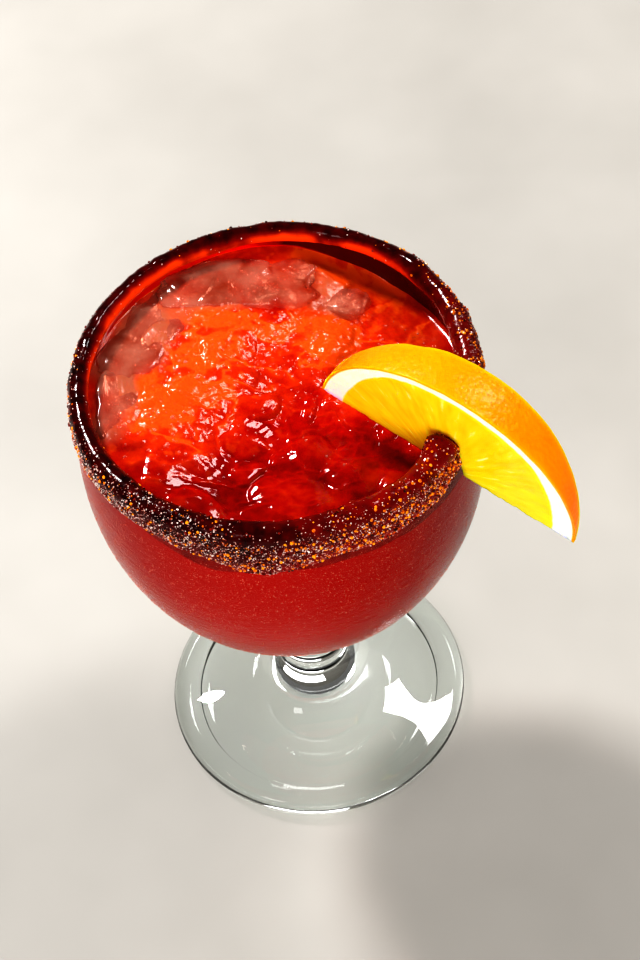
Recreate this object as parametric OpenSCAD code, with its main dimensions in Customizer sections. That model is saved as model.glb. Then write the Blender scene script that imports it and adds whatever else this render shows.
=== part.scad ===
// Footed goblet filled with an iced red cocktail, its rim coated in thick seasoned sauce,
// with an orange wedge pushed over the rim. The origin is the centre of the foot's resting
// ring, on the table. Sizes are in millimetres.

/* [Glass] */
// Height of the glass lip above the table
glass_h = 163; // [130:1:200]
// Radius of the lip, measured to the middle of its wall
lip_r = 52.5; // [48:0.5:54]
// Wall thickness at the lip
lip_t = 3.1; // [2.5:0.1:4]
// Outer radius of the bowl at its widest ring
bowl_r = 56.8; // [56:0.1:70]
// Drop from the lip's centre line to the widest ring
bowl_drop = 27; // [22:1:32]
// Depth of the outer bowl below the widest ring
bowl_depth = 70.4; // [60:0.2:78]
// Wall thickness of the bowl at its widest ring
bowl_t = 2.9; // [2.2:0.1:4]
// Thickness of the solid glass under the bowl's floor
floor_t = 7; // [4:0.5:10]

/* [Stem and foot] */
// Radius of the stem at its waist
stem_r = 10.5; // [8:0.5:14]
// Height of the stem's waist above the table
stem_waist_h = 38; // [32:1:46]
// Radius at which the stem's flare runs out into the bowl
flare_r = 24; // [20:1:30]
// Outer radius of the foot
foot_r = 47.7; // [40:0.1:54]
// Radius of the foot's rounded edge
foot_edge_r = 3.5; // [2.5:0.1:4.5]
// Height of the hollow under the foot
foot_hollow_h = 3; // [1:0.5:4]
// Width of the flat ring the foot rests on
foot_ring_w = 6; // [4:0.5:10]

/* [Drink] */
// Drop from the lip to the drink where it lies lowest
drink_drop = 14.3; // [11.5:0.1:24]
// Rise of the iced heap over the lowest part
heap_rise = 8.3; // [0:0.1:9]
// Direction in which the heap rises, in degrees from the X axis
heap_dir = 150; // [0:5:355]
// Width of the slope between the low part and the heap
heap_slope_w = 40; // [20:1:60]
// Height of the small lumps on the surface
lump_h = 1.1; // [0:0.1:1.5]
// Spacing of the small lumps
lump_pitch = 19; // [14:1:30]

/* [Rim sauce] */
// Thickness of the sauce over the lip
sauce_t = 2; // [1.2:0.1:3]
// Shallowest reach of the sauce down the outside
sauce_out_min = 5.6; // [4:0.1:12]
// Further reach of the sauce where it was dipped deepest
sauce_dip = 3.4; // [0:0.1:6]
// Direction in which the sauce was dipped deepest, in degrees from the X axis
sauce_dip_dir = -60; // [-180:1:180]
// Further reach of the lobe that has run down
sauce_lobe = 5.2; // [0:0.1:8]
// Direction of the lobe, in degrees from the X axis
sauce_lobe_dir = -95; // [-180:1:180]
// Reach of the sauce down the inside
sauce_in = 5; // [3:0.5:7]
// Unevenness of the sauce's lower edge
sauce_wave = 1.3; // [0:0.1:1.5]
// Share by which the sauce's thickness swells and thins
sauce_swell = 0.14; // [0:0.01:0.25]

/* [Orange wedge] */
// Radius of the orange that the wedge is cut from
orange_r = 40; // [32:1:44]
// Angle between the wedge's two cut faces
wedge_angle = 20.5; // [16:0.5:30]
// Distance of the wedge's inner edge from the orange's centre
wedge_core = 3.6; // [1:0.1:6]
// Width of the flat strip along the inner edge
wedge_strip_w = 1.2; // [0.6:0.1:3]
// Direction of the rim point that carries the wedge, in degrees from the X axis
wedge_dir = -30.2; // [-60:0.1:0]
// Turn of the wedge away from the radial direction
wedge_yaw = -4.6; // [-15:0.1:10]
// Droop of the wedge's outer end
wedge_droop = 12.7; // [5:0.1:20]
// Lean of the wedge towards its back face
wedge_lean = 2.5; // [-5:0.1:8]
// Shift of the wedge's middle outwards over the rim
wedge_shift = -0.9; // [-6:0.1:6]
// Height of the slit that straddles the rim
slit_h = 13.8; // [12:0.1:19]

/* [Hidden] */
$fn = 96;
// Clearance between the drink and the glass, and between the sauce and the glass
fill_gap = 0.06;
sauce_gap = 0.1;
// Clearance of the sauce's inner edge over the drink
drink_gap = 0.5;
// Clearance of the slit round the coated rim
slit_gap = 0.15;
// Thickness of the sauce where it runs out, as a share of its full thickness
sauce_edge_share = 0.3;
// Widths in degrees of the deep dip and of the lobe
sauce_dip_w = 45;
sauce_lobe_w = 13;
// Waves of the sauce's outer and inner edge: count, start angle and share of the height
outer_waves = [[5, 20, 0.4], [11, 0, 0.35], [23, 70, 0.25]];
inner_waves = [[4, 100, 0.6], [9, 0, 0.4]];
// Handles of the sweep from the foot up into the stem, and of the stem out into the bowl
foot_sweep_share = 0.58;
foot_sweep_rise = 5.5;
foot_neck_share = 3;
flare_handle_share = 0.45;
// Steps round the glass, along each curve of its profile and across the drink's surface
turn_steps = 72;
curve_steps = 14;
lip_steps = 6;
surface_rings = 9;

lip_c_z = glass_h - lip_t / 2;
bowl_z = lip_c_z - bowl_drop;
lip_out_r = lip_r + lip_t / 2;
lip_in_r = lip_r - lip_t / 2;
bowl_in_r = bowl_r - bowl_t;
bowl_in_depth = bowl_depth - floor_t;
drink_z = glass_h - drink_drop;
sauce_top_z = glass_h + sauce_gap + sauce_t;

// Points of an arc of an ellipse from one angle to another
function arc_points(cr, cz, a, b, from, to, steps) = [
    for (i = [0:steps])
        let (t = from + (to - from) * i / steps)
        [cr + a * cos(t), cz + b * sin(t)]
];

// Points of a cubic curve with two end points and two handles
function curve_points(p0, p1, p2, p3, steps) = [
    for (i = [0:steps])
        let (t = i / steps, s = 1 - t)
        s * s * s * p0 + 3 * s * s * t * p1 + 3 * s * t * t * p2 + t * t * t * p3
];

// Radius between the widest ring and the lip, which closes in ever faster towards the lip
function upper_wall_r(wide_r, end_r, z) = wide_r - (wide_r - end_r) * pow((z - bowl_z) / bowl_drop, 2);

// Upper wall from the widest ring to the lip's centre line, without its first point
function upper_wall(wide_r, end_r) = [
    for (i = [1:curve_steps / 2])
        let (z = bowl_z + bowl_drop * i * 2 / curve_steps)
        [upper_wall_r(wide_r, end_r, z), z]
];

// Outside of the bowl, from where the stem's flare ends up to the lip's centre line
flare_angle = acos(flare_r / bowl_r);
outer_wall = concat(
    arc_points(0, bowl_z, bowl_r, bowl_depth, -flare_angle, 0, curve_steps),
    upper_wall(bowl_r, lip_out_r));

// Inside of the bowl, from its lowest point up to the lip's centre line
inner_wall = concat(
    arc_points(0, bowl_z, bowl_in_r, bowl_in_depth, -90, 0, curve_steps),
    upper_wall(bowl_in_r, lip_in_r));

// Radius of the outside and the inside at a height, along the same straight pieces as the glass
outer_table = [for (p = outer_wall) [p[1], p[0]]];
inner_table = [for (p = inner_wall) [p[1], p[0]]];
function outer_r(z) = lookup(z, outer_table);
function inner_r(z) = lookup(z, inner_table);

// ---------------------------------------------------------------- glass

// Foot: hollow underneath, flat resting ring, rounded edge
ring_out_r = foot_r - foot_edge_r;
ring_in_r = ring_out_r - foot_ring_w;
edge_end_angle = 70;
foot_under = concat(
    arc_points(0, 0, ring_in_r, foot_hollow_h, 90, 0, curve_steps),
    arc_points(ring_out_r, foot_edge_r, foot_edge_r, foot_edge_r, -90, edge_end_angle, curve_steps));

// Sweep of the foot's top up into the stem, and of the stem out into the bowl
edge_end = [ring_out_r + foot_edge_r * cos(edge_end_angle), foot_edge_r + foot_edge_r * sin(edge_end_angle)];
foot_top = curve_points(
    edge_end,
    [ring_out_r * foot_sweep_share, 2 * foot_edge_r + foot_sweep_rise],
    [stem_r, foot_edge_r * foot_neck_share],
    [stem_r, stem_waist_h], curve_steps);
flare_end = outer_wall[0];
flare_handle = flare_r * flare_handle_share;
flare_slope = bowl_depth * flare_r / (bowl_r * bowl_r * sin(flare_angle));
stem_top = curve_points(
    [stem_r, stem_waist_h],
    [stem_r, (stem_waist_h + flare_end[1] * 2) / 3],
    [flare_end[0] - flare_handle, flare_end[1] - flare_handle * flare_slope],
    flare_end, curve_steps);

function without_first(list) = [for (i = [1:len(list) - 1]) list[i]];
function reversed(list) = [for (i = [len(list) - 1:-1:0]) list[i]];

glass_outline = concat(
    foot_under,
    without_first(foot_top),
    without_first(stem_top),
    without_first(outer_wall),
    without_first(arc_points(lip_r, lip_c_z, lip_t / 2, lip_t / 2, 0, 180, 2 * lip_steps)),
    without_first(reversed(inner_wall)));

module glass() {
    color([0.92, 0.95, 0.96, 0.35])
        rotate_extrude()
            polygon(glass_outline);
}

// ---------------------------------------------------------------- drink

// Eases from 0 to 1 while t goes from 0 to 1
function ease(t) = let (c = min(1, max(0, t))) c * c * (3 - 2 * c);

// Height of the drink's surface at a point: a slope up to the heap, with small lumps
function surface_z(x, y) =
    let (
        along = x * cos(heap_dir) + y * sin(heap_dir),
        across = y * cos(heap_dir) - x * sin(heap_dir),
        turn = 360 / lump_pitch)
    drink_z
    + heap_rise * ease(0.3 + along / heap_slope_w)
    + lump_h * 0.6 * sin(turn * along + 40) * cos(turn * 0.83 * across)
    + lump_h * 0.4 * sin(turn * 1.7 * across + 2 * along);

module drink() {
    wall_levels = curve_steps + 3;
    // Rings from the bowl's floor up the wall to the waterline
    wall_rings = [
        for (k = [1:wall_levels])
            [for (j = [0:turn_steps - 1])
                let (
                    a = 360 * j / turn_steps,
                    edge_r = lip_in_r,
                    top_z = surface_z(edge_r * cos(a), edge_r * sin(a)),
                    z = k <= curve_steps
                        ? inner_wall[k][1]
                        : bowl_z + (top_z - bowl_z) * (k - curve_steps) / (wall_levels - curve_steps),
                    r = inner_r(z) - fill_gap)
                [r * cos(a), r * sin(a), z]]
    ];
    // Rings of the surface, from the waterline in towards the middle
    top_rings = [
        for (k = [surface_rings - 1:-1:1])
            [for (j = [0:turn_steps - 1])
                let (
                    a = 360 * j / turn_steps,
                    r = (lip_in_r - 1) * k / surface_rings)
                [r * cos(a), r * sin(a), surface_z(r * cos(a), r * sin(a))]]
    ];
    rings = concat(wall_rings, top_rings);
    color([0.78, 0.08, 0.03])
        difference() {
            capped_rings(rings, [0, 0, inner_wall[0][1] + fill_gap], [0, 0, surface_z(0, 0)]);
            place_wedge()
                wedge_blank(drink_gap);
        }
}

// Closed skin over a stack of rings of equal length, with one point at each end
module capped_rings(rings, first, last) {
    n = len(rings[0]);
    m = len(rings);
    points = concat([first], [for (ring = rings) each ring], [last]);
    start = [for (j = [0:n - 1]) [0, 1 + j, 1 + (j + 1) % n]];
    sides = [
        for (i = [0:m - 2])
            for (j = [0:n - 1])
                let (
                    p = 1 + i * n + j,
                    q = 1 + i * n + (j + 1) % n)
                each [[p, p + n, q + n], [p, q + n, q]]
    ];
    end = [for (j = [0:n - 1]) [m * n + 1, 1 + (m - 1) * n + (j + 1) % n, 1 + (m - 1) * n + j]];
    polyhedron(points, concat(start, sides, end), convexity = 6);
}

// ---------------------------------------------------------------- rim sauce

// Bell of height 1 round a direction, with a width in degrees
function bell(a, dir, width) = let (off = (a - dir + 540) % 360 - 180) exp(-pow(off / width, 2));

// Sum of sines round the ring, from a list of count, start angle and share of the height
function wave_sum(waves, a) = [for (w = waves) w[2] * sin(w[0] * a + w[1])] * [for (w = waves) 1];

// How far the sauce reaches down the outside, by direction
function sauce_reach(a) =
    sauce_out_min
    + sauce_dip * bell(a, sauce_dip_dir, sauce_dip_w)
    + sauce_lobe * bell(a, sauce_lobe_dir, sauce_lobe_w)
    + sauce_wave * wave_sum(outer_waves, a);

// Highest the drink stands under the sauce's inner edge, by direction
function drink_under_sauce(a) =
    max([for (r = [lip_in_r, lip_in_r - sauce_t / 2, lip_in_r - sauce_t]) surface_z(r * cos(a), r * sin(a))]);

// How far the sauce reaches down the inside, by direction, ending above the drink
function sauce_reach_in(a) =
    let (
        wanted = sauce_in + sauce_wave * wave_sum(inner_waves, a),
        room = lip_c_z - drink_under_sauce(a) - drink_gap)
    min(wanted, room);

// Swell of the sauce's thickness, by direction and along the section
function sauce_swelling(a, u) = 1 + sauce_swell * (0.6 * sin(7 * a + 250 * u) + 0.4 * sin(17 * a - 400 * u));

// Section of the sauce at one direction: along the glass, then back along the sauce's own skin.
// The path runs up the outside, over the lip and down the inside; each entry is a point on the
// glass with the direction that points away from it.
function sauce_path(a) =
    let (
        low_z = lip_c_z - sauce_reach(a),
        in_z = lip_c_z - sauce_reach_in(a),
        wall_steps = lip_steps)
    concat(
        [for (i = [0:wall_steps - 1])
            let (z = low_z + (lip_c_z - low_z) * i / wall_steps)
            [[outer_r(z), z], [1, 0]]],
        [for (i = [0:lip_steps])
            let (t = 180 * i / lip_steps)
            [[lip_r + lip_t / 2 * cos(t), lip_c_z + lip_t / 2 * sin(t)], [cos(t), sin(t)]]],
        [for (i = [1:wall_steps / 2])
            let (z = lip_c_z - (lip_c_z - in_z) * i * 2 / wall_steps)
            [[inner_r(z), z], [-1, 0]]]);

module rim_sauce() {
    last = len(sauce_path(0)) - 1;
    sections = [
        for (j = [0:turn_steps - 1])
            let (
                a = 360 * j / turn_steps,
                path = sauce_path(a),
                // straight steps round the ring cut the corner, so the skin on the glass stands off
                chord = 1 / cos(180 / turn_steps),
                skin = [for (i = [0:last])
                    let (on = path[i][0] + sauce_gap * path[i][1])
                    [on[0] * (path[i][1][0] > 0 ? chord : 1), on[1]]],
                crust = [for (i = [last:-1:0])
                    let (
                        u = i / last,
                        body = sauce_edge_share + (1 - sauce_edge_share) * pow(sin(180 * u), 0.45),
                        t = sauce_gap + sauce_t * body * sauce_swelling(a, u))
                    path[i][0] + t * path[i][1]])
            [for (p = concat(skin, crust)) [p[0] * cos(a), p[0] * sin(a), p[1]]]
    ];
    color([0.32, 0.02, 0.03])
        closed_ring(sections);
}

// Closed skin over sections of equal length that follow each other round a ring
module closed_ring(sections) {
    n = len(sections);
    m = len(sections[0]);
    points = [for (section = sections) each section];
    faces = [
        for (j = [0:n - 1])
            for (i = [0:m - 1])
                let (
                    p = j * m + i,
                    q = j * m + (i + 1) % m,
                    s = ((j + 1) % n) * m + i,
                    t = ((j + 1) % n) * m + (i + 1) % m)
                each [[p, q, t], [p, t, s]]
    ];
    polyhedron(points, faces, convexity = 8);
}

// ---------------------------------------------------------------- orange wedge

// Wedge of a round fruit, grown all round by an amount: inner edge along X, peel towards Z
module wedge_blank(grown) {
    reach = 2 * orange_r;
    spread = reach * tan(wedge_angle / 2);
    strip_z = wedge_strip_w / 2 / tan(wedge_angle / 2);
    intersection() {
        translate([0, 0, -wedge_core])
            sphere(r = orange_r + grown);
        rotate([90, 0, 90])
            translate([0, 0, -reach])
                linear_extrude(2 * reach)
                    polygon([
                        [-wedge_strip_w / 2 - grown, -grown],
                        [wedge_strip_w / 2 + grown, -grown],
                        [spread + grown, reach - strip_z],
                        [-spread - grown, reach - strip_z]]);
    }
}

// Carries the wedge to its place on the rim
module place_wedge() {
    translate([lip_r * cos(wedge_dir), lip_r * sin(wedge_dir), sauce_top_z - slit_h])
        rotate([0, 0, wedge_dir + wedge_yaw])
            rotate([0, wedge_droop, 0])
                rotate([-wedge_lean, 0, 0])
                    translate([wedge_shift, 0, 0])
                        children();
}

// Everything the coated rim takes up, with the slit's clearance round it
module slit_room() {
    half_w = lip_t / 2 + sauce_gap + sauce_t * (1 + sauce_swell) + slit_gap;
    foot_z = lip_c_z - bowl_drop;
    wall_in = [for (p = inner_wall) if (p[1] > foot_z) p];
    wall_out = [for (p = outer_wall) if (p[1] > foot_z) p];
    side = half_w - lip_t / 2;
    rotate_extrude() {
        translate([lip_r, lip_c_z])
            circle(r = half_w, $fn = 48);
        polygon(concat(
            [for (p = wall_out) p + [side, 0]],
            [for (p = reversed(wall_in)) p - [side, 0]]));
    }
}

module orange_wedge() {
    color([1, 0.72, 0.05])
        difference() {
            place_wedge()
                wedge_blank(0);
            slit_room();
        }
}

glass();
drink();
rim_sauce();
orange_wedge();
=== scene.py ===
"""Iced red margarita in a footed goblet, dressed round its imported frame.

The goblet, the drink, the rim sauce and the orange wedge replace the frame's plain solids.
Ice, bubbles, grains, film and dew are added as real pieces. Shapes are worked out in
millimetres on numpy grids and put into meshes in metres.
"""

from __future__ import annotations

import itertools
import logging
import math
from dataclasses import dataclass, field
from enum import Enum

import bpy
import numpy as np
from mathutils import Matrix, Vector


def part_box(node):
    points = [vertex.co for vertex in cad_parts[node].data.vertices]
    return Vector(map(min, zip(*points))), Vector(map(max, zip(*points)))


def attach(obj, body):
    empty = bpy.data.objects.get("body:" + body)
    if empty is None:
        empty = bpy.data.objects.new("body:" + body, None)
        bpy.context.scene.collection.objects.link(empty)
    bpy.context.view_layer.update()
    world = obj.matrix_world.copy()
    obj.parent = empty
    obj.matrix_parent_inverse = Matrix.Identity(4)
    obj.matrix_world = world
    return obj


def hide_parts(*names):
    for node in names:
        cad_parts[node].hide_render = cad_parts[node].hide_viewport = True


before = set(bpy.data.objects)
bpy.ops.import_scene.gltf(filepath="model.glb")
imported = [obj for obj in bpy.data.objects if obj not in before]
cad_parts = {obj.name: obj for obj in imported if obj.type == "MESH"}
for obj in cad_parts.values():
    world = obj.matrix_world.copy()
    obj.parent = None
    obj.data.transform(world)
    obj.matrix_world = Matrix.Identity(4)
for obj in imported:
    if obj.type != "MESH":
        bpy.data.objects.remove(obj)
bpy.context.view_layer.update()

LOG = logging.getLogger("margarita")
MM = 0.001
BODY = "root"
Array = np.ndarray
Socket = bpy.types.NodeSocket
Value = float | str | tuple[float, ...] | Socket


# ------------------------------------------------------------------ meshes


@dataclass
class Surface:
    """A mesh in millimetres: points, four-sided and three-sided faces, and values on points."""

    points: Array
    quads: Array = field(default_factory=lambda: np.zeros((0, 4), int))
    triangles: Array = field(default_factory=lambda: np.zeros((0, 3), int))
    values: dict[str, Array] = field(default_factory=dict)
    face_slots: Array | None = None

    def split(self) -> Array:
        """Return every face as triangles."""
        halves = [self.quads[:, [0, 1, 2]], self.quads[:, [0, 2, 3]], self.triangles]
        return np.concatenate(halves)

    def outward(self) -> Surface:
        """Turn all faces over if the enclosed volume comes out negative.

        Returns:
            The surface itself.
        """
        corner = self.points[self.split()]
        volume = np.einsum("ij,ij->i", corner[:, 0], np.cross(corner[:, 1], corner[:, 2])).sum()
        if volume < 0:
            self.quads = self.quads[:, ::-1]
            self.triangles = self.triangles[:, ::-1]
        return self


def band_faces(rows: int, columns: int, close_rows: bool, close_columns: bool) -> Array:
    """Number the quads of a grid whose point (row, column) has index row * columns + column.

    Args:
        rows: Count of rows.
        columns: Count of columns.
        close_rows: Whether the last row joins the first.
        close_columns: Whether the last column joins the first.

    Returns:
        One row of four point indices for each quad.
    """
    row = np.arange(rows if close_rows else rows - 1)[:, None]
    column = np.arange(columns if close_columns else columns - 1)[None, :]
    next_row = (row + 1) % rows
    next_column = (column + 1) % columns
    corners = [
        row * columns + column,
        row * columns + next_column,
        next_row * columns + next_column,
        next_row * columns + column,
    ]
    return np.stack([np.broadcast_to(c, (row.size, column.size)) for c in corners], -1).reshape(-1, 4)


def stack_of_rings(rings: Array, first: Array, last: Array) -> Surface:
    """Skin a stack of closed rings and close each end with a fan to one point.

    Args:
        rings: Points, shaped ring by place on the ring by three.
        first: The point that closes the start.
        last: The point that closes the end.

    Returns:
        The closed surface, facing outwards.
    """
    count, around, _ = rings.shape
    points = np.concatenate([rings.reshape(-1, 3), first[None], last[None]])
    place = np.arange(around)
    after = (place + 1) % around
    start = np.stack([np.full(around, count * around), after, place], -1)
    base = (count - 1) * around
    end = np.stack([np.full(around, count * around + 1), base + place, base + after], -1)
    quads = band_faces(count, around, False, True)
    return Surface(points, quads, np.concatenate([start, end])).outward()


def around_axis(r: Array | float, turn: Array, z: Array | float) -> Array:
    """Return points from their distance to the Z axis, their direction about it and their height."""
    return np.stack(np.broadcast_arrays(r * np.cos(turn), r * np.sin(turn), z), -1)


def full_turn(steps: int) -> Array:
    """Return evenly spaced directions round a full turn, from 0."""
    return np.arange(steps) * (2 * np.pi / steps)


def revolve(profile: Array, around: int) -> Surface:
    """Turn a profile of radius and height about the Z axis; its two ends lie on the axis.

    Args:
        profile: Radius and height of each point, with both ends on the axis.
        around: Count of steps round the axis.

    Returns:
        The closed surface.
    """
    ring = profile[1:-1]
    rings = around_axis(ring[:, :1], full_turn(around), ring[:, 1:])
    first = np.array([0, 0, profile[0, 1]])
    last = np.array([0, 0, profile[-1, 1]])
    return stack_of_rings(rings, first, last)


def copies(shape: Surface, places: Array, turns: Array, sizes: Array) -> Surface:
    """Join many copies of one small shape into one mesh.

    Args:
        shape: The small shape, about one unit in radius.
        places: Centre of each copy.
        turns: Rotation matrix of each copy.
        sizes: Radius of each copy along its own three axes.

    Returns:
        The joined mesh.
    """
    local = shape.points[None] * sizes[:, None, :]
    points = np.einsum("nij,nkj->nki", turns, local) + places[:, None, :]
    step = (np.arange(len(places)) * len(shape.points))[:, None, None]
    quads = (shape.quads[None] + step).reshape(-1, 4)
    triangles = (shape.triangles[None] + step).reshape(-1, 3)
    return Surface(points.reshape(-1, 3), quads, triangles)


def join(parts: list[Surface]) -> Surface:
    """Join separate surfaces into one mesh.

    Args:
        parts: The surfaces to join.

    Returns:
        The joined surface.
    """
    step = np.cumsum([0] + [len(p.points) for p in parts[:-1]])
    return Surface(
        np.concatenate([p.points for p in parts]),
        np.concatenate([p.quads + s for p, s in zip(parts, step)]),
        np.concatenate([p.triangles + s for p, s in zip(parts, step)]),
    )


def new_piece(
    name: str, surface: Surface, materials: list[bpy.types.Material], smooth: bool = True
) -> bpy.types.Object:
    """Put a surface into a mesh object at the origin, in metres.

    Args:
        name: Name of the object and its mesh.
        surface: The surface in millimetres.
        materials: Materials in slot order.
        smooth: Whether the faces are shaded smooth.

    Returns:
        The new object, riding on the one body.
    """
    mesh = bpy.data.meshes.new(name)
    quads, triangles = surface.quads, surface.triangles
    mesh.vertices.add(len(surface.points))
    mesh.vertices.foreach_set("co", (surface.points * MM).astype(np.float32).ravel())
    corners = np.concatenate([quads.ravel(), triangles.ravel()]).astype(np.int32)
    starts = np.concatenate([np.arange(len(quads)) * 4, quads.size + np.arange(len(triangles)) * 3])
    mesh.loops.add(len(corners))
    mesh.loops.foreach_set("vertex_index", corners)
    mesh.polygons.add(len(starts))
    mesh.polygons.foreach_set("loop_start", starts.astype(np.int32))
    if surface.face_slots is not None:
        mesh.polygons.foreach_set("material_index", surface.face_slots.astype(np.int32))
    mesh.polygons.foreach_set("use_smooth", np.full(len(starts), smooth))
    mesh.update(calc_edges=True)
    for label, numbers in surface.values.items():
        layer = mesh.attributes.new(label, "FLOAT", "POINT")
        layer.data.foreach_set("value", numbers.astype(np.float32).ravel())
    mesh.validate()
    piece = bpy.data.objects.new(name, mesh)
    bpy.context.scene.collection.objects.link(piece)
    for material in materials:
        mesh.materials.append(material)
    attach(piece, BODY)
    LOG.info("%s: %d faces", name, len(mesh.polygons))
    return piece


# ------------------------------------------------------------------ patterns


def ease(t: Array) -> Array:
    """Rise smoothly from 0 to 1 while t goes from 0 to 1."""
    t = np.clip(t, 0, 1)
    return t * t * (3 - 2 * t)


def bump_at(distance: Array, width: float) -> Array:
    """Return a bell that is 1 at distance 0 and falls off over the width."""
    return np.exp(-((distance / width) ** 2))


def lattice_noise(points: Array, seed: int) -> Array:
    """Give smooth noise from -1 to 1: a random value at each whole-number corner, eased between.

    Args:
        points: Places in millimetres.
        seed: Number that picks the pattern.

    Returns:
        One value for each place.
    """
    cell = np.floor(points).astype(np.int64)
    part = ease(points - cell)
    total = np.zeros(points.shape[:-1])
    for corner in itertools.product((0, 1), repeat=3):
        x, y, z = np.moveaxis(cell + corner, -1, 0)
        mixed = (x * 73856093) ^ (y * 19349663) ^ (z * 83492791) ^ (seed * 2654435761)
        mixed = ((mixed ^ (mixed >> 13)) * 1274126177) & 0xFFFFFFFF
        value = ((mixed ^ (mixed >> 16)) & 0xFFFF) / 32767.5 - 1
        total += value * np.prod(np.where(corner, part, 1 - part), -1)
    return total


def cloud(points: Array, size: float, seed: int, octaves: int = 3) -> Array:
    """Sum lattice noise at a size in millimetres and at ever finer halves of it.

    Args:
        points: Places in millimetres.
        size: Size of the largest blotches in millimetres.
        seed: Number that picks the pattern.
        octaves: How many sizes are summed.

    Returns:
        One value for each place.
    """
    total = np.zeros(points.shape[:-1])
    for octave in range(octaves):
        total += lattice_noise(points * 2.03**octave / size, seed + octave) / 2**octave
    return total


def random_turns(rng: np.random.Generator, count: int) -> Array:
    """Return evenly spread random rotation matrices, from random unit quaternions.

    Args:
        rng: Source of the random draws.
        count: How many are made.

    Returns:
        The matrices.
    """
    w, x, y, z = (q := rng.normal(size=(4, count))) / np.linalg.norm(q, axis=0)
    rows = [
        [1 - 2 * (y * y + z * z), 2 * (x * y - w * z), 2 * (x * z + w * y)],
        [2 * (x * y + w * z), 1 - 2 * (x * x + z * z), 2 * (y * z - w * x)],
        [2 * (x * z - w * y), 2 * (y * z + w * x), 1 - 2 * (x * x + y * y)],
    ]
    return np.moveaxis(np.array(rows), -1, 0)


def upright_turns(normals: Array, spin: Array) -> Array:
    """Return rotations whose third axis lies along each normal, spun about it.

    Args:
        normals: Direction of each third axis, of length 1.
        spin: Turn about each normal in radians.

    Returns:
        The matrices.
    """
    aside = np.cross(normals, np.array([0.31, 0.52, 0.79]))
    aside /= np.linalg.norm(aside, axis=1)[:, None]
    other = np.cross(normals, aside)
    turned = aside * np.cos(spin)[:, None] + other * np.sin(spin)[:, None]
    return np.stack([turned, np.cross(normals, turned), normals], -1)


def crystal(rng: np.random.Generator) -> Surface:
    """Return a slightly crooked cube, the shape of a salt crystal.

    Args:
        rng: Source of the random draws.

    Returns:
        The crystal, about one unit in radius.
    """
    corners = np.array(list(itertools.product((-1, 1), repeat=3)), float) * 0.62
    corners += rng.uniform(-0.14, 0.14, corners.shape)
    quads = np.array([[0, 1, 3, 2], [4, 6, 7, 5], [0, 4, 5, 1], [2, 3, 7, 6], [0, 2, 6, 4], [1, 5, 7, 3]])
    return Surface(corners, quads).outward()


def pebble(rows: int, columns: int, squareness: float = 1.0) -> Surface:
    """Return a closed round grain: sine and cosine of two angles, each raised to a power.

    Args:
        rows: Steps from pole to pole.
        columns: Steps round the grain.
        squareness: The power; 1 gives a ball, less gives a block with round corners.

    Returns:
        The grain, one unit in radius.
    """

    def shaped(v: Array) -> Array:
        return np.sign(v) * np.abs(v) ** squareness

    up = ((np.arange(1, rows) / rows - 0.5) * np.pi)[:, None]
    turn = full_turn(columns)
    flat = shaped(np.cos(up))
    parts = flat * shaped(np.cos(turn)), flat * shaped(np.sin(turn)), shaped(np.sin(up))
    rings = np.stack(np.broadcast_arrays(*parts), -1)
    return stack_of_rings(rings, np.array([0, 0, -1.0]), np.array([0, 0, 1.0]))


def dome(rings_up: int, columns: int) -> Surface:
    """Return a drop that sits on a surface: a half ball on a slightly drawn-in base.

    Args:
        rings_up: Rings from the base to the top.
        columns: Steps round the grain.

    Returns:
        The drop, one unit in radius.
    """
    up = np.linspace(-0.15, 1, rings_up, endpoint=False) * np.pi / 2
    rings = around_axis(np.cos(up)[:, None], full_turn(columns), np.sin(up)[:, None])
    return stack_of_rings(rings, np.array([0, 0, np.sin(up[0])]), np.array([0, 0, 1.0]))


# ------------------------------------------------------------------ materials


def linear(colour: str) -> tuple[float, float, float, float]:
    """Turn an sRGB hex colour, such as "#C81408", to linear red, green, blue and alpha.

    A dark channel is divided by 12.92; any other is shifted, scaled and raised to the power 2.4.

    Args:
        colour: Six-digit hex colour after a hash sign.

    Returns:
        Red, green, blue and alpha.
    """
    channels = [int(colour[i : i + 2], 16) / 255 for i in (1, 3, 5)]
    straight = [c / 12.92 if c <= 0.04045 else ((c + 0.055) / 1.055) ** 2.4 for c in channels]
    return (*straight, 1.0)


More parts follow.
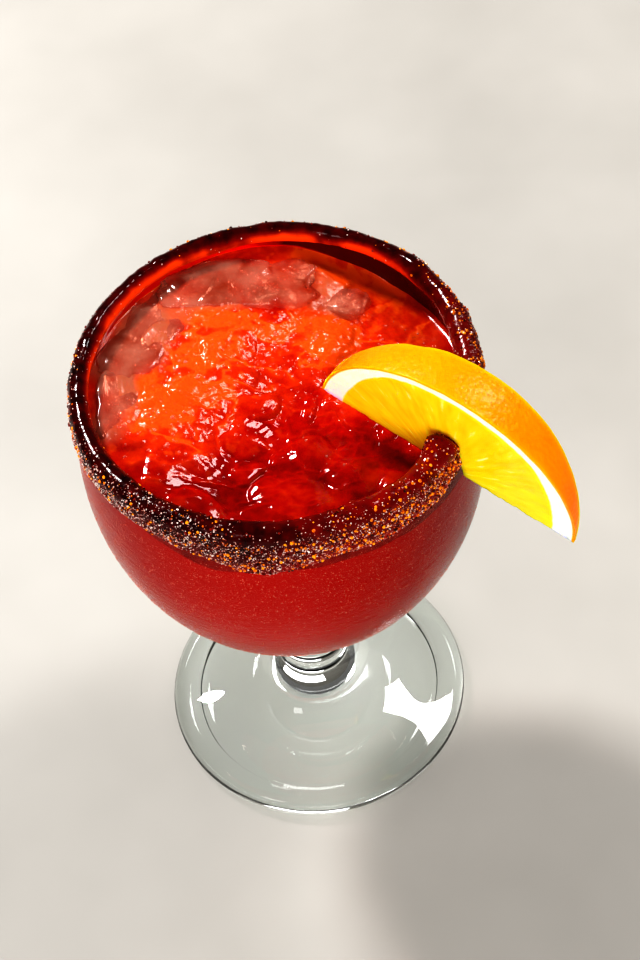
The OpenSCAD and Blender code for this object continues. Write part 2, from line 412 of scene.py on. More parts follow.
class Paint:
    """A material in the making: its node tree, its main shader and its Object coordinates."""

    def __init__(self, name: str, constants: dict[str, Value]) -> None:
        """Start a material with a Principled shader.

        Args:
            name: Name of the material.
            constants: Values for the shader's own sockets; a text is a hex colour.
        """
        self.material = bpy.data.materials.new(name)
        self.material.use_nodes = True
        self.tree = self.material.node_tree
        self.shader = self.tree.nodes["Principled BSDF"]
        self.where = self.add_node("TexCoord").outputs["Object"]
        for label, value in constants.items():
            self.shader.inputs[label].default_value = linear(value) if isinstance(value, str) else value

    def add_node(
        self,
        kind: str,
        settings: dict[str, object] | None = None,
        inputs: dict[str | int, Value] | None = None,
    ) -> bpy.types.Node:
        """Add a node, set its own settings, and set or link its inputs.

        Args:
            kind: Blender's name of the node type, without its ShaderNode prefix.
            settings: Attributes of the node.
            inputs: For each input's name or index, a socket, a plain value or a hex colour.

        Returns:
            The node.
        """
        made = self.tree.nodes.new("ShaderNode" + kind)
        for label, value in (settings or {}).items():
            setattr(made, label, value)
        for label, value in (inputs or {}).items():
            if isinstance(value, Socket):
                self.tree.links.new(value, made.inputs[label])
            else:
                made.inputs[label].default_value = linear(value) if isinstance(value, str) else value
        return made

    def feed(self, label: str, value: Socket) -> None:
        """Feed a value to one of the shader's sockets."""
        self.tree.links.new(value, self.shader.inputs[label])

    def named(self, label: str) -> Socket:
        """Read one of the mesh's own values."""
        return self.add_node("Attribute", {"attribute_name": label}).outputs["Fac"]

    def maths(self, operation: str, *values: Value) -> Socket:
        """Work out a sum, product or other operation of up to three values."""
        return self.add_node("Math", {"operation": operation}, dict(enumerate(values))).outputs[0]

    def plus(self, base: Value, value: Value, share: Value) -> Socket:
        """Add a share of a value to a base."""
        return self.maths("MULTIPLY_ADD", value, share, base)

    def spread(
        self,
        value: Socket,
        source: tuple[float, float] = (0.0, 1.0),
        target: tuple[float, float] = (0.0, 1.0),
        **settings: object,
    ) -> Socket:
        """Map one range of a value straight to another.

        Args:
            value: The value.
            source: Its two ends.
            target: What the two ends become.
            settings: Attributes of the node, such as clamp.

        Returns:
            The mapped value.
        """
        ends = {"From Min": source[0], "From Max": source[1], "To Min": target[0], "To Max": target[1]}
        return self.add_node("MapRange", settings, {0: value, **ends}).outputs[0]

    def stretched(self, where: Socket, scale: tuple[float, float, float]) -> Socket:
        """Scale coordinates, so that a pattern grows longer where the scale is small."""
        return self.add_node("Mapping", None, {"Vector": where, "Scale": scale}).outputs[0]

    def noise(self, size: float, detail: float = 3.0, where: Socket | None = None) -> Socket:
        """Add a noise pattern whose blotches are about the given size in millimetres."""
        inputs = {"Vector": where or self.where, "Scale": 1 / (size * MM), "Detail": detail}
        return self.add_node("TexNoise", None, inputs).outputs["Fac"]

    def cells(self, size: float, where: Socket | None = None) -> Socket:
        """Add round cells about the given size in millimetres; the value grows away from their middles."""
        inputs = {"Vector": where or self.where, "Scale": 1 / (size * MM)}
        return self.add_node("TexVoronoi", {"feature": "SMOOTH_F1"}, inputs).outputs["Distance"]

    def ramp(self, factor: Socket, *stops: tuple[float, str]) -> Socket:
        """Turn a value to a colour.

        Args:
            factor: The value.
            stops: Position and hex colour of each stop.

        Returns:
            The colour.
        """
        made = self.add_node("ValToRGB", None, {0: factor})
        elements = made.color_ramp.elements
        while len(elements) < len(stops):
            elements.new(0.5)
        for element, (position, colour) in zip(elements, stops):
            element.position = position
            element.color = linear(colour)
        return made.outputs[0]

    def mix(self, factor: Socket, under: Value, over: Value) -> Socket:
        """Go from one colour to another as the factor goes from 0 to 1."""
        made = self.add_node("Mix", {"data_type": "RGBA"}, {"Factor": factor, 6: under, 7: over})
        return made.outputs[2]

    def bump(self, height: Socket, strength: float, depth_mm: float) -> None:
        """Roughen the skin by a height pattern of the given depth."""
        inputs = {"Height": height, "Strength": strength, "Distance": depth_mm * MM}
        self.feed("Normal", self.add_node("Bump", None, inputs).outputs[0])

    def let_lamps_through(self, tint: str) -> None:
        """Let the lamps' light pass a clear material, tinted, so that it lights what lies behind.

        Args:
            tint: Hex colour that the passing light takes on.
        """
        lamp = self.add_node("LightPath").outputs["Is Shadow Ray"]
        clear = self.add_node("BsdfTransparent", None, {"Color": tint}).outputs[0]
        either = self.add_node("MixShader", None, {0: lamp, 1: self.shader.outputs[0], 2: clear})
        self.tree.links.new(either.outputs[0], self.tree.nodes["Material Output"].inputs["Surface"])


@dataclass(frozen=True)
class SodaLimeGlass:
    """Pressed soda-lime glass, fire polished: clear, thick, with faint waves in its skin."""

    tint: str = "#FAFDFC"
    shade: str = "#F2F4F3"
    ior: float = 1.52
    wave_mm: float = 14.0

    def material(self) -> bpy.types.Material:
        """Return the material: a full-transmission shader with a very low, broad bump.

        Returns:
            The material.
        """
        constants = {"Base Color": self.tint, "Transmission Weight": 1.0, "Roughness": 0.0, "IOR": self.ior}
        paint = Paint("pressed_soda_lime_glass", constants)
        paint.bump(paint.noise(self.wave_mm, 1.0), 0.06, 1.0)
        paint.let_lamps_through(self.shade)
        return paint.material


@dataclass(frozen=True)
class ChilledGlass:
    """The same glass where it is cold: a breath of condensation that hazes and ripples it."""

    mist_and_sheen: str = "#FF9C7A"
    shade: str = "#F4EEEC"
    bead_mm: float = 0.55
    ripple_mm: float = 1.5
    patch_mm: float = 26.0

    def material(self) -> bpy.types.Material:
        """Return the material: condensation haze scatters a share of the light, painted sheen streaks the
        right side, beads and ripples break the gloss.

        Returns:
            The material.
        """
        constants = {"Base Color": self.mist_and_sheen, "IOR": 1.33, "Specular IOR Level": 0.18}
        paint = Paint("chilled_soda_lime_glass", constants)
        patches = paint.noise(self.patch_mm, 4.0)
        patch_ends = (0.35, 0.7)
        haze = paint.spread(patches, patch_ends, (0.001, 0.006))
        paint.feed("Roughness", paint.spread(patches, patch_ends, (0.1, 0.26)))
        ripples = paint.noise(self.ripple_mm, 2.0, paint.stretched(paint.where, (0.16, 0.16, 1.0)))
        # painted sheen: on the right, fine level streaks of pale scatter stand for light reflected off the
        # wet glass
        to_right = paint.add_node("SeparateXYZ", None, {0: paint.where}).outputs["X"]
        right = paint.spread(to_right, (8 * MM, 50 * MM), (0.0, 0.07))
        mist_and_sheen = paint.plus(haze, right, paint.spread(ripples, (0.42, 0.62)))
        paint.feed("Transmission Weight", paint.maths("SUBTRACT", 1.0, mist_and_sheen))
        paint.bump(paint.plus(paint.noise(self.bead_mm, 2.0), ripples, 1.6), 0.4, 0.25)
        paint.let_lamps_through(self.shade)
        return paint.material


@dataclass(frozen=True)
class IcedDrink:
    """Red fruit drink over crushed ice: deep red where it pools, orange and cloudy on the ice."""

    pool: str = "#7A0200"
    red: str = "#A81000"
    slush: str = "#CC3A04"
    froth: str = "#DC5A16"
    iced: str = "#A8624A"

    def material(self) -> bpy.types.Material:
        """Return the material: the piece's own values of ice, froth and slab place its colours.

        Returns:
            The material.
        """
        constants = {
            "IOR": 1.36,
            "Subsurface Weight": 0.25,
            "Subsurface Radius": (1.0, 0.3, 0.1),
            "Subsurface Scale": 2 * MM,
        }
        paint = Paint("iced_red_drink", constants)
        ice = paint.named("ice")
        swirl = paint.noise(9.0)
        mixed = paint.plus(ice, paint.noise(2.4, 5.0), 0.35)
        colours = (0.35, self.pool), (0.6, self.red), (0.9, self.slush), (1.0, self.froth)
        top = paint.ramp(paint.plus(mixed, swirl, 0.5), *colours)
        frothy = paint.mix(paint.named("froth"), top, self.froth)
        paint.feed("Base Color", paint.mix(paint.named("slab"), frothy, self.iced))
        paint.feed("Roughness", paint.spread(paint.plus(ice, swirl, 0.5), (0.3, 0.8), (0.05, 0.22)))
        paint.bump(paint.noise(1.3), 0.06, 0.25)
        return paint.material


@dataclass(frozen=True)
class DrinkAtGlass:
    """The same drink where it lies against the glass: no skin of its own, so no gloss, only colour."""

    low: str = "#F0541E"
    middle: str = "#CA2000"
    high: str = "#BC1600"

    def material(self) -> bpy.types.Material:
        """Return the material: red by height, more orange at the bottom of the bowl.

        Returns:
            The material.
        """
        constants = {
            "Specular IOR Level": 0.0,
            "Roughness": 0.8,
            "Subsurface Weight": 0.5,
            "Subsurface Radius": (1.0, 0.2, 0.1),
            "Subsurface Scale": 6 * MM,
        }
        paint = Paint("red_drink_at_glass", constants)
        level = paint.plus(paint.named("wall"), paint.noise(22.0), 0.3)
        colours = (0.12, self.low), (0.5, self.middle), (1.0, self.high)
        paint.feed("Base Color", paint.ramp(level, *colours))
        return paint.material


@dataclass(frozen=True)
class MeltingIce:
    """Melting ice stained by the drink: clear, faintly milky inside, with a wet skin."""

    tint: str = "#E6B29C"

    def material(self) -> bpy.types.Material:
        """Return the material: mostly transmitted light, with milky patches.

        Returns:
            The material.
        """
        paint = Paint("melting_ice", {"Base Color": self.tint, "IOR": 1.31, "Roughness": 0.12})
        clear = paint.spread(paint.noise(7.0, 4.0), (0.3, 0.7), (0.98, 0.75))
        paint.feed("Transmission Weight", clear)
        paint.bump(paint.noise(3.0), 0.4, 0.5)
        paint.let_lamps_through(self.tint)
        return paint.material


@dataclass(frozen=True)
class SeasonedSauce:
    """Thick chili and fruit sauce: dark crimson, sticky and glossy, gritty with ground spice."""

    deep: str = "#1C0002"
    body: str = "#4C0303"
    thin_and_painted_glow: str = "#8A1004"
    # painted glow: the brightest tone stands for light shining through the thinned sauce
    painted_glow: str = "#FF5410"

    def material(self) -> bpy.types.Material:
        """Return the material: dark where thick, redder as the value rises, which holds both thinness and a
        painted glow of light shining through.

        Returns:
            The material.
        """
        paint = Paint("seasoned_chili_sauce", {"IOR": 1.42, "Specular IOR Level": 0.4})
        amount = paint.plus(paint.named("thin_and_painted_glow"), paint.noise(3.5, 4.0), 0.35)
        colours = (0.12, self.deep), (0.25, self.body), (0.48, self.thin_and_painted_glow), (0.95, self.painted_glow)
        paint.feed("Base Color", paint.ramp(amount, *colours))
        grit = paint.named("grit")
        paint.feed("Roughness", paint.spread(grit, target=(0.12, 0.28)))
        low = paint.maths("MULTIPLY", paint.noise(1.6), 0.5)
        paint.bump(paint.plus(low, paint.noise(0.5, 2.0), grit), 0.5, 0.3)
        return paint.material


@dataclass(frozen=True)
class SauceFilm:
    """Thin sauce run down the inside of the glass: clear red, painted glowing where light would come through
    and painted dark elsewhere.
    """

    deep: str = "#5A0004"
    red: str = "#F00A00"
    bright: str = "#FF3C00"
    painted_glow: str = "#FFA448"
    shade: str = "#F08070"

    def material(self) -> bpy.types.Material:
        """Return the material: tinted, with a painted glow brightest along the film's lower edge.

        Returns:
            The material.
        """
        constants = {
            "Transmission Weight": 0.12,
            "Roughness": 0.07,
            "IOR": 1.4,
            "Subsurface Weight": 0.5,
            "Subsurface Radius": (1.0, 0.4, 0.1),
            "Subsurface Scale": 1 * MM,
        }
        paint = Paint("thin_sauce_film", constants)
        amount = paint.plus(paint.named("painted_glow"), paint.noise(11.0), 0.55)
        colours = (0.15, self.deep), (0.4, self.red), (0.8, self.bright), (1.0, self.painted_glow)
        paint.feed("Base Color", paint.ramp(amount, *colours))
        paint.let_lamps_through(self.shade)
        return paint.material


@dataclass(frozen=True)
class Grain:
    """One kind of loose grain, from coarse salt to ground chili."""

    name: str
    light: str
    dark: str
    clear: float
    rough: float

    def material(self) -> bpy.types.Material:
        """Return the material: two tones that change from grain to grain.

        Returns:
            The material.
        """
        constants = {"Transmission Weight": self.clear, "Roughness": self.rough, "IOR": 1.5}
        paint = Paint(self.name, constants)
        tones = (0.38, self.dark), (0.62, self.light)
        paint.feed("Base Color", paint.ramp(paint.noise(1.1, 1.0), *tones))
        return paint.material


@dataclass(frozen=True)
class WaterBead:
    """A bead of water or a thin bubble: mostly clear, tinted by what it lies on, with a sharp highlight."""

    name: str
    tint: str
    milk_least: float = 0.05
    milk_most: float = 0.3

    def material(self) -> bpy.types.Material:
        """Return the material: clear with a milky share that changes from bead to bead.

        Returns:
            The material.
        """
        paint = Paint(self.name, {"Base Color": self.tint, "IOR": 1.33, "Roughness": 0.03})
        clear = (1 - self.milk_least, 1 - self.milk_most)
        paint.feed("Transmission Weight", paint.spread(paint.noise(4.0, 1.0), target=clear))
        paint.let_lamps_through(self.tint)
        return paint.material


@dataclass(frozen=True)
class FreshOrange:
    """Cut orange: oily dimpled peel, dry white pith and wet juice sacs that run in from the rind."""

    centre: Vector
    radius_mm: float
    turn: Matrix
    rind_mm: float = 0.9
    pith_mm: float = 3.1
    tip_pith_mm: float = 4.5
    peel: str = "#FF9C00"
    peel_deep: str = "#FF8600"
    pith: str = "#FFF9E2"
    flesh: str = "#FFD428"
    flesh_light: str = "#FFEEA0"
    flesh_deep: str = "#FFC410"

    def material(self) -> bpy.types.Material:
        """Return the material: layers by depth under the peel, sacs stretched along the radius.

        Returns:
            The material.
        """
        constants = {
            "IOR": 1.42,
            "Specular IOR Level": 0.28,
            "Subsurface Weight": 0.85,
            "Subsurface Radius": (1.0, 0.7, 0.1),
            "Subsurface Scale": 9 * MM,
        }
        paint = Paint("fresh_orange", constants)
        ends = {0: paint.where, 1: tuple(self.centre)}
        away = paint.add_node("VectorMath", {"operation": "DISTANCE"}, ends).outputs["Value"]
        span = 10.0
        from_peel = (self.radius_mm * MM, (self.radius_mm - span) * MM)
        depth = paint.spread(away, from_peel, (0.0, span), clamp=False)
        place = {
            "Vector": paint.where,
            "Location": tuple(self.centre),
            "Rotation": tuple(self.turn.to_euler()),
        }
        local = paint.add_node("Mapping", {"vector_type": "TEXTURE"}, place).outputs[0]
        parts = paint.add_node("SeparateXYZ", None, {0: local}).outputs
        tip = paint.maths("ABSOLUTE", parts["X"])
        # the pith thickens towards both tips of the wedge
        near_tip = (20 * MM, 38 * MM)
        extra = paint.spread(tip, near_tip, (0.0, self.tip_pith_mm), interpolation_type="SMOOTHSTEP")
        inner = paint.maths("SUBTRACT", depth, paint.plus(extra, paint.noise(4.0, 2.0), 1.2))
        in_flesh = paint.spread(inner, (self.pith_mm - 0.9, self.pith_mm - 0.3))
        in_pith = paint.spread(depth, (self.rind_mm - 0.25, self.rind_mm + 0.15))
        # the sacs run out from the centre, so the pattern is wide by bearing and long by radius
        bearing = paint.maths("ARCTAN2", parts["X"], parts["Z"])
        fan = paint.add_node("CombineXYZ", None, {0: bearing, 1: away, 2: parts["Y"]}).outputs[0]
        sacs = paint.stretched(fan, (0.028, 0.2, 1.0))
        amount = paint.plus(paint.noise(2.2, 4.0, sacs), paint.cells(2.4, sacs), 0.5)
        flesh = paint.ramp(amount, (0.36, self.flesh_light), (0.55, self.flesh), (1.0, self.flesh_deep))
        blush = paint.plus(paint.spread(tip, (26 * MM, 40 * MM)), paint.noise(12.0), 0.5)
        peel = paint.ramp(blush, (0.2, self.peel), (0.9, self.peel_deep))
        paint.feed("Base Color", paint.mix(in_flesh, paint.mix(in_pith, peel, self.pith), flesh))
        paint.feed("Roughness", paint.spread(in_flesh, target=(0.3, 0.12)))
        relief = {"Factor": in_flesh, 2: paint.cells(1.3), 3: amount}
        paint.bump(paint.add_node("Mix", {"data_type": "FLOAT"}, relief).outputs[0], 0.5, 0.35)
        return paint.material


@dataclass(frozen=True)
class PaleFloor:
    """Matt painted board in pale warm grey."""

    light: str = "#B2AEA8"
    dark: str = "#A8A49E"

    def material(self) -> bpy.types.Material:
        """Return the material: two close tones in broad soft patches.

        Returns:
            The material.
        """
        paint = Paint("pale_painted_board", {"Roughness": 0.6})
        paint.feed("Base Color", paint.ramp(paint.noise(90.0), (0.3, self.dark), (0.7, self.light)))
        return paint.material


# ------------------------------------------------------------------ goblet


@dataclass
class Goblet:
    """The footed goblet, one revolved wall of glass. Sizes are in millimetres."""

    height: float
    bowl_r: float
    lip_r: float = 52.5
    lip_t: float = 3.1
    bowl_drop: float = 27.0
    bowl_depth: float = 70.4
    bowl_t: float = 2.9
    floor_t: float = 7.0
    stem_r: float = 10.5
    stem_waist_h: float = 38.0
    flare_r: float = 24.0
    foot_r: float = 47.7
    foot_edge_r: float = 3.5
    foot_hollow_h: float = 3.0
    foot_ring_w: float = 6.0
    turn_steps: int = 208
    dew_tries: int = 25500
    dew_z: tuple[float, float] = (80.0, 150.0)
    dew_dir: float = -98.0

    @classmethod
    def from_frame(cls) -> Goblet:
        """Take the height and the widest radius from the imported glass."""
        _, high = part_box("glass")
        return cls(height=high.z / MM, bowl_r=high.x / MM)

    @property
    def lip_z(self) -> float:
        """Height of the lip's centre line."""
        return self.height - self.lip_t / 2

    @property
    def bowl_z(self) -> float:
        """Height of the widest ring."""
        return self.lip_z - self.bowl_drop

    def wall(self, z: Array, wide_r: float, depth: float, end_r: float) -> Array:
        """Return the wall's radius by height: an ellipse below the widest ring, a slow closing-in above.

        Args:
            z: Heights in millimetres.
            wide_r: Radius at the widest ring.
            depth: Height of the ellipse below the widest ring.
            end_r: Radius at the lip.

        Returns:
            The radius at each height.
        """
        low = wide_r * np.sqrt(np.clip(1 - ((self.bowl_z - z) / depth) ** 2, 0, 1))
        high = wide_r - (wide_r - end_r) * ((z - self.bowl_z) / self.bowl_drop) ** 2
        return np.where(z < self.bowl_z, low, high)

    def outer(self, z: Array) -> Array:
        """Return the outside radius at a height."""
        return self.wall(z, self.bowl_r, self.bowl_depth, self.lip_r + self.lip_t / 2)

    def inner(self, z: Array) -> Array:
        """Return the inside radius at a height."""
        depth = self.bowl_depth - self.floor_t
        return self.wall(z, self.bowl_r - self.bowl_t, depth, self.lip_r - self.lip_t / 2)

    @staticmethod
    def arc(
        centre: tuple[float, float], across: float, up: float, start: float, end: float, steps: int
    ) -> Array:
        """Return points of an arc of an ellipse between two angles in degrees."""
        t = np.radians(np.linspace(start, end, steps))
        return np.stack([centre[0] + across * np.cos(t), centre[1] + up * np.sin(t)], -1)

    @staticmethod
    def curve(p0: Array, p1: Array, p2: Array, p3: Array, steps: int) -> Array:
        """Return points of a cubic curve with two ends and two handles.

        Args:
            p0: First end.
            p1: Handle of the first end.
            p2: Handle of the last end.
            p3: Last end.
            steps: Count of points.

        Returns:
            The points as radius and height.
        """
        t = np.linspace(0, 1, steps)[:, None]
        s = 1 - t
        return s**3 * p0 + 3 * s * s * t * p1 + 3 * s * t * t * p2 + t**3 * p3

    def profile(self) -> tuple[Array, int]:
        """Work out the whole outline from the foot's hollow round to the bowl's floor.

        Returns:
            The outline as radius and height, and how many of its points come before the bowl.
        """
        ring_out = self.foot_r - self.foot_edge_r
        ring_in = ring_out - self.foot_ring_w
        edge_end_deg = 70.0
        hollow = self.arc((0, 0), ring_in, self.foot_hollow_h, 90, 0, 24)
        edge_r = self.foot_edge_r
        edge = self.arc((ring_out, edge_r), edge_r, edge_r, -90, edge_end_deg, 20)
        top = self.curve(
            edge[-1],
            np.array([ring_out * 0.58, 2 * edge_r + 5.5]),
            np.array([self.stem_r, edge_r * 3]),
            np.array([self.stem_r, self.stem_waist_h]),
            44,
        )
        flare_deg = math.degrees(math.acos(self.flare_r / self.bowl_r))
        outside = self.arc((0, self.bowl_z), self.bowl_r, self.bowl_depth, -flare_deg, 0, 90)
        handle = self.flare_r * 0.45
        slope = self.bowl_depth * self.flare_r / (self.bowl_r**2 * math.sin(math.radians(flare_deg)))
        stem = self.curve(
            top[-1],
            np.array([self.stem_r, (self.stem_waist_h + outside[0, 1] * 2) / 3]),
            outside[0] - handle * np.array([1, slope]),
            outside[0],
            32,
        )
        upper_z = np.linspace(self.bowl_z, self.lip_z, 30)
        upper = np.stack([self.outer(upper_z), upper_z], -1)
        lip = self.arc((self.lip_r, self.lip_z), self.lip_t / 2, self.lip_t / 2, 0, 180, 15)
        inside_z = upper_z[::-1]
        inside_upper = np.stack([self.inner(inside_z), inside_z], -1)
        inside = self.arc(
            (0, self.bowl_z), self.bowl_r - self.bowl_t, self.bowl_depth - self.floor_t, 0, -90, 90
        )
        parts = [hollow, edge, top[1:], stem[1:], outside[1:], upper[1:], lip[1:]]
        parts += [inside_upper[1:], inside[1:]]
        before_bowl = sum(len(p) for p in parts[:4])
        outline = np.concatenate(parts)
        outline[-1, 0] = 0.0
        return outline, before_bowl

    def build(self) -> bpy.types.Object:
        """Make the glass: chilled where the outside of the bowl holds the drink, clear elsewhere.

        Returns:
            The piece.
        """
        outline, before_bowl = self.profile()
        surface = revolve(outline, self.turn_steps)
        bands = np.arange(len(outline) - 3)
        height = outline[1:-2, 1]
        cold = (bands > before_bowl + 16) & (bands < before_bowl + 108) & (height < self.lip_z - 4)
        slots = np.repeat(cold.astype(int), self.turn_steps)
        surface.face_slots = np.concatenate([slots, np.zeros(2 * self.turn_steps, int)])
        piece = new_piece("goblet", surface, [SodaLimeGlass().material(), ChilledGlass().material()])
        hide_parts("glass")
        return piece

    def dew(self, rng: np.random.Generator) -> bpy.types.Object:
        """Scatter fine beads of dew over the cold outside of the bowl, thickest in front.

        Args:
            rng: Source of the random draws.

        Returns:
            The piece.
        """
        count = self.dew_tries
        turn = rng.uniform(-np.pi, np.pi, count)
        z = rng.uniform(*self.dew_z, count)
        thick = 0.03 + 0.97 * ease(0.5 + 0.5 * np.cos(turn - np.radians(self.dew_dir))) ** 5
        keep = rng.uniform(size=count) < thick
        turn, z = turn[keep], z[keep]
        r = self.outer(z)
        slope = (self.outer(z + 0.5) - self.outer(z - 0.5))[:, None]
        out = np.stack([np.cos(turn), np.sin(turn)], -1)
        normals = np.concatenate([out, -slope], 1)
        normals /= np.linalg.norm(normals, axis=1)[:, None]
        radius = 0.1 + 0.14 * rng.uniform(size=len(z)) ** 3
        sizes = np.stack([radius, radius, radius * 0.45], -1)
        turns = upright_turns(normals, rng.uniform(0, 2 * np.pi, len(z)))
        beads = copies(dome(2, 4), around_axis(r, turn, z), turns, sizes)
        piece = new_piece("dew_beads", beads, [WaterBead("dew_water", "#FF9A78", 0.3, 0.6).material()])
        return piece


# ------------------------------------------------------------------ drink and ice


class Zone(Enum):
    """Places on the drink's surface, as centre and reach in millimetres from the glass's axis."""

    SLUSH = (-16.0, 22.0, 30.0)
    LEFT_SLUSH = (-33.0, -8.0, 16.0)
    CRUSHED = (15.0, 17.0, 8.0)
    BACK_RIGHT = (34.0, 28.0, 19.0)
    BACK = (16.0, 44.0, 15.0)

    def weight(self, x: Array, y: Array) -> Array:
        """Return a bell of 1 at the zone's centre."""
        cx, cy, reach = self.value
        return bump_at(np.hypot(x - cx, y - cy), reach)


@dataclass(frozen=True)
class Slab:
    """A slab of ice that shows at the surface: centre, half sizes and turn in degrees."""

    x: float
    y: float
    half_l: float
    half_w: float
    half_t: float
    turn: float

    def inside(self, x: Array, y: Array) -> Array:
        """Return 1 well inside the slab's outline and 0 outside it, with a soft edge.

        Args:
            x: Places across, in millimetres.
            y: Places along, in millimetres.

        Returns:
            One value for each place.
        """
        t = math.radians(self.turn)
        u = ((x - self.x) * math.cos(t) + (y - self.y) * math.sin(t)) / self.half_l
        v = ((y - self.y) * math.cos(t) - (x - self.x) * math.sin(t)) / self.half_w
        return ease((1.25 - (np.abs(u) ** 3 + np.abs(v) ** 3) ** (1 / 3)) * 2)


SLABS = (
    Slab(-10.0, 38.0, 22.0, 8.0, 2.6, 3.0),
    Slab(-36.0, 21.0, 18.0, 8.0, 2.6, 56.0),
    Slab(-43.0, -3.0, 12.0, 5.5, 1.8, 88.0),
    Slab(17.0, 35.0, 9.0, 5.0, 2.4, -24.0),
)


@dataclass
class Drink:
    """The iced drink: a body that fills the bowl, with a heaped and lumpy wet surface."""

    goblet: Goblet
    drop: float = 14.3
    heap_rise: float = 8.3
    heap_dir: float = 150.0
    slope_w: float = 40.0
    into_wall: float = 0.25
    lump_count: int = 70
    bubble_tries: int = 6000
    bubble_reach: float = 47.5
    rings: int = 168
    around: int = 420
    seed: int = 11

    def __post_init__(self) -> None:
        """Draw the places, sizes and turns of the lumps of ice that stand under the surface."""
        rng = np.random.default_rng(self.seed)
        order = np.arange(self.lump_count) + 0.5
        r = 47 * np.sqrt(order / self.lump_count)
        golden = order * 2.399963 + rng.uniform(-0.5, 0.5, self.lump_count)
        self.lump_x = r * np.cos(golden)
        self.lump_y = r * np.sin(golden)
        self.lump_a = rng.uniform(4.2, 11.0, self.lump_count)
        self.lump_b = self.lump_a * rng.uniform(0.5, 0.95, self.lump_count)
        self.lump_turn = rng.uniform(0, np.pi, self.lump_count)
        self.lump_h = rng.uniform(0.3, 2.3, self.lump_count)
        self.lump_tilt = rng.normal(0, 0.16, (self.lump_count, 2))

    def base_z(self, x: Array, y: Array) -> Array:
        """Return the height of the surface without its lumps: low to the right, heaped to the left.

        Args:
            x: Places across, in millimetres.
            y: Places along, in millimetres.

        Returns:
            The height at each place.
        """
        a = math.radians(self.heap_dir)
        along = x * math.cos(a) + y * math.sin(a)
        return self.goblet.height - self.drop + self.heap_rise * ease(0.3 + along / self.slope_w)

    def lumps(self, x: Array, y: Array) -> Array:
        """Return the height of the ice lumps: flat-topped tilted caps joined by a soft maximum.

        Args:
            x: Places across, in millimetres.
            y: Places along, in millimetres.

        Returns:
            The height at each place.
        """
        total = np.zeros_like(x)
        for i in range(self.lump_count):
            dx, dy = x - self.lump_x[i], y - self.lump_y[i]
            c, s = math.cos(self.lump_turn[i]), math.sin(self.lump_turn[i])
            u = np.abs(dx * c + dy * s) / self.lump_a[i]
            v = np.abs(dy * c - dx * s) / self.lump_b[i]
            inside = np.clip(1 - (u**2.6 + v**2.6), 0, 1)
            tilt = 1 + self.lump_tilt[i, 0] * dx / 2 + self.lump_tilt[i, 1] * dy / 2
            total += (self.lump_h[i] * inside**0.7 * np.clip(tilt, 0.2, 2)) ** 4
        return total**0.25

    def surface(self, x: Array, y: Array) -> tuple[Array, dict[str, Array]]:
        """Work out the wet surface: its sloping base, lumps, creases and fine grit, level over slabs.

        Args:
            x: Places across, in millimetres.
            y: Places along, in millimetres.

        Returns:
            The height, and the values named ice, froth and slab.
        """
        flat = np.stack([x, y, np.zeros_like(x)], -1)
        warped_x = x + 1.7 * cloud(flat, 10, 31, 2)
        warped_y = y + 1.7 * cloud(flat, 10, 57, 2)
        caps = self.lumps(warped_x, warped_y)
        warped = np.stack([warped_x, warped_y * 1.5, np.zeros_like(x)], -1)
        crease = np.clip(1 - np.abs(cloud(warped, 9, 83, 3)) * 2.2, 0, 1) ** 2
        slush = np.clip(Zone.SLUSH.weight(x, y) + Zone.LEFT_SLUSH.weight(x, y), 0, 1)
        far = Zone.BACK_RIGHT.weight(x, y) + Zone.BACK.weight(x, y)
        crushed = np.clip(Zone.CRUSHED.weight(x, y) + 1.1 * far, 0, 1)
        grainy = np.clip(slush + crushed, 0, 1)
        fine = cloud(flat, 1.5, 71, 3)
        z = self.base_z(x, y)
        z = z + caps * (0.75 - 0.25 * slush) + 0.6 * cloud(flat, 13, 5, 2) + 0.22 * crease
        z = z + Zone.CRUSHED.weight(x, y) * 2.2 + fine * (0.008 + 0.16 * grainy)
        slab = np.clip(sum(s.inside(warped_x, warped_y) for s in SLABS), 0, 1)
        z = z * (1 - 0.6 * slab) + 0.6 * slab * (self.base_z(x, y) + 1.2)
        out = np.hypot(x, y)
        near_wall = ease((out - 45) / 6)
        z = z * (1 - near_wall) + (self.base_z(x, y) + 0.9 * cloud(flat, 16, 9, 2) + 0.6) * near_wall
        z = z + 0.8 * np.exp((out - self.goblet.lip_r) / 0.9)
        ice = 0.08 + 0.48 * slush + 0.44 * crushed + 0.05 * (caps - 0.8) + 0.24 * crease * (0.3 + grainy)
        ice = ice + 0.13 * cloud(flat, 7, 87, 3)
        froth = ease((cloud(flat, 3.2, 91, 3) - 0.6) * 2.5) * grainy * 0.8
        clear = slab * (0.8 + 0.3 * cloud(flat, 8, 77, 3))
        return z, {"ice": np.clip(ice, 0, 1), "froth": froth * (1 - slab), "slab": np.clip(clear, 0, 1)}

